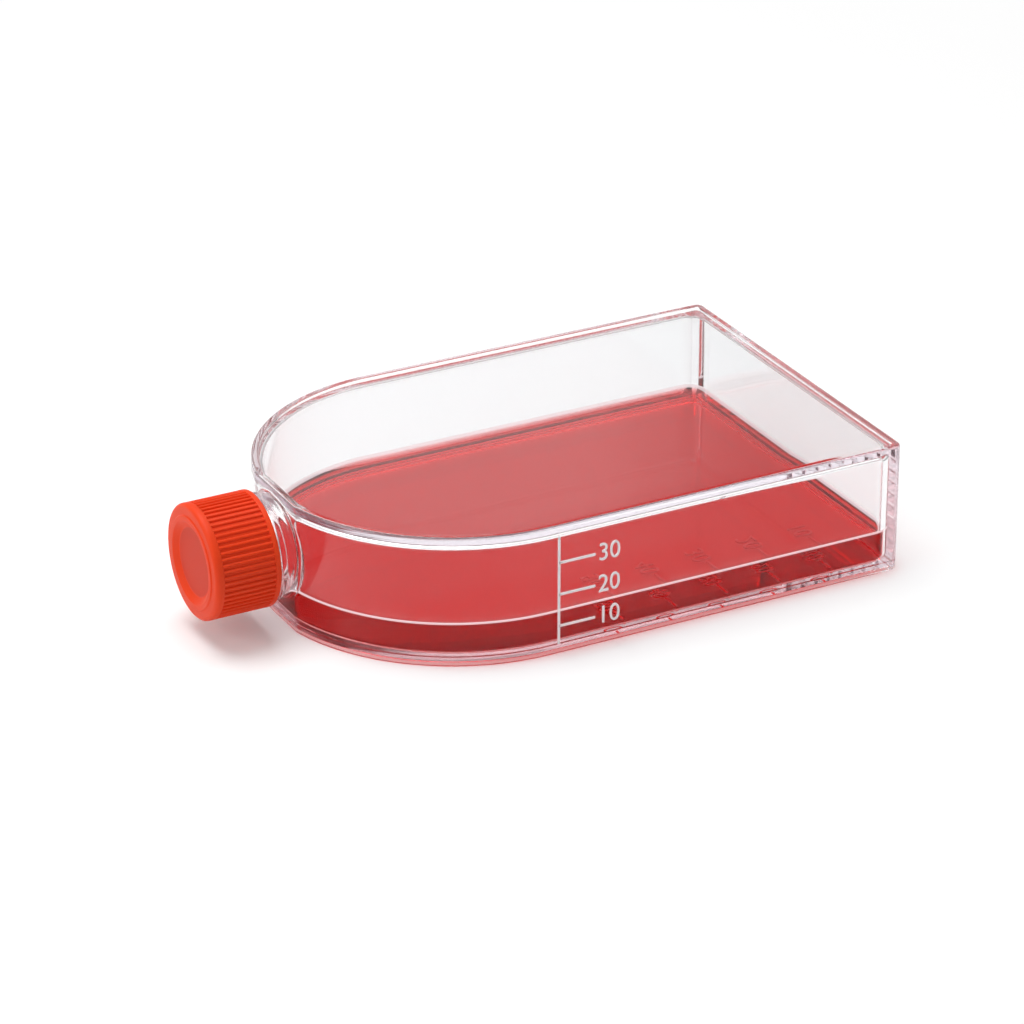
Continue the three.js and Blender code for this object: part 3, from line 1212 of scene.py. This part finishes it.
def camera(azimuth, elevation, distance, aim, lens):
    """A camera that looks at a point. Azimuth 0 looks along +Y, in degrees."""
    turn, rise = math.radians(azimuth), math.radians(elevation)
    back = Vector(
        (math.sin(turn) * math.cos(rise), -math.cos(turn) * math.cos(rise), math.sin(rise))
    )
    data = bpy.data.cameras.new("camera")
    data.lens = lens
    made = bpy.data.objects.new("camera", data)
    made.location = Vector(aim) + back * distance
    made.rotation_euler = (-back).to_track_quat("-Z", "Y").to_euler()
    bpy.context.scene.collection.objects.link(made)
    bpy.context.scene.camera = made


class FLASK_OT_stage(bpy.types.Operator):
    """Builds the floor, the light and the camera"""

    bl_idname = "flask.stage"
    bl_label = "Stage"

    def execute(self, context):
        scene = context.scene
        scene.view_settings.view_transform = "Standard"
        for name in ("max", "glossy", "transmission", "transparent_max"):
            setattr(scene.cycles, f"{name}_bounces", BOUNCES)
        scene.cycles.caustics_refractive = False
        scene.cycles.caustics_reflective = False
        mesh = bmesh.new()
        bmesh.ops.create_grid(mesh, x_segments=1, y_segments=1, size=3)
        floor = new_object("floor", mesh, floor_finish(scene.flask_colours))
        scene.world = studio_world(strength=0.4)
        centre = (CAD_BOX[0] + CAD_BOX[1]) / 2
        lamp("softbox", place=(-0.1, 0.14, 0.66), aim=centre, size=0.45, watts=3.5)
        lamp("side_light", place=(-0.55, 0.02, 0.3), aim=centre, size=0.25, watts=0.65)
        camera(azimuth=-28, elevation=26, distance=0.7, aim=(0.0005, -0.002, 0.0095), lens=158)
        return {"FINISHED"}


class FLASK_PT_panel(bpy.types.Panel):
    """Lists the flask's sizes, colours and pieces"""

    bl_label = "Cell Culture Flask"
    bl_space_type = "VIEW_3D"
    bl_region_type = "UI"
    bl_category = "Flask"

    def draw(self, context):
        layout = self.layout
        for operator in OPERATORS:
            layout.operator(operator.bl_idname)
        for holder in GROUPS:
            group = getattr(context.scene, holder)
            for name in group.bl_rna.properties.keys():
                if name not in ("rna_type", "name"):
                    layout.prop(group, name)


GROUPS = {
    "flask_body": FlaskBodySizes,
    "flask_thread": FlaskThreadSizes,
    "flask_cap": FlaskCapSizes,
    "flask_scales": FlaskScaleSizes,
    "flask_colours": FlaskColours,
}
OPERATORS = (
    FLASK_OT_stage,
    FLASK_OT_clear_body,
    FLASK_OT_medium,
    FLASK_OT_side_scale,
    FLASK_OT_main_scale,
    FLASK_OT_screw_cap,
    FLASK_OT_liner,
)
CLASSES = (*GROUPS.values(), *OPERATORS, FLASK_PT_panel)


def register():
    for each in CLASSES:
        bpy.utils.register_class(each)
    for name, group in GROUPS.items():
        setattr(bpy.types.Scene, name, PointerProperty(type=group))


def unregister():
    for name in GROUPS:
        delattr(bpy.types.Scene, name)
    for each in reversed(CLASSES):
        bpy.utils.unregister_class(each)


def main():
    register()
    bpy.ops.flask.stage()
    bpy.ops.flask.clear_body()
    bpy.ops.flask.medium()
    bpy.ops.flask.side_scale()
    bpy.ops.flask.main_scale()
    bpy.ops.flask.screw_cap()
    bpy.ops.flask.liner()


if __name__ == "__main__":
    main()
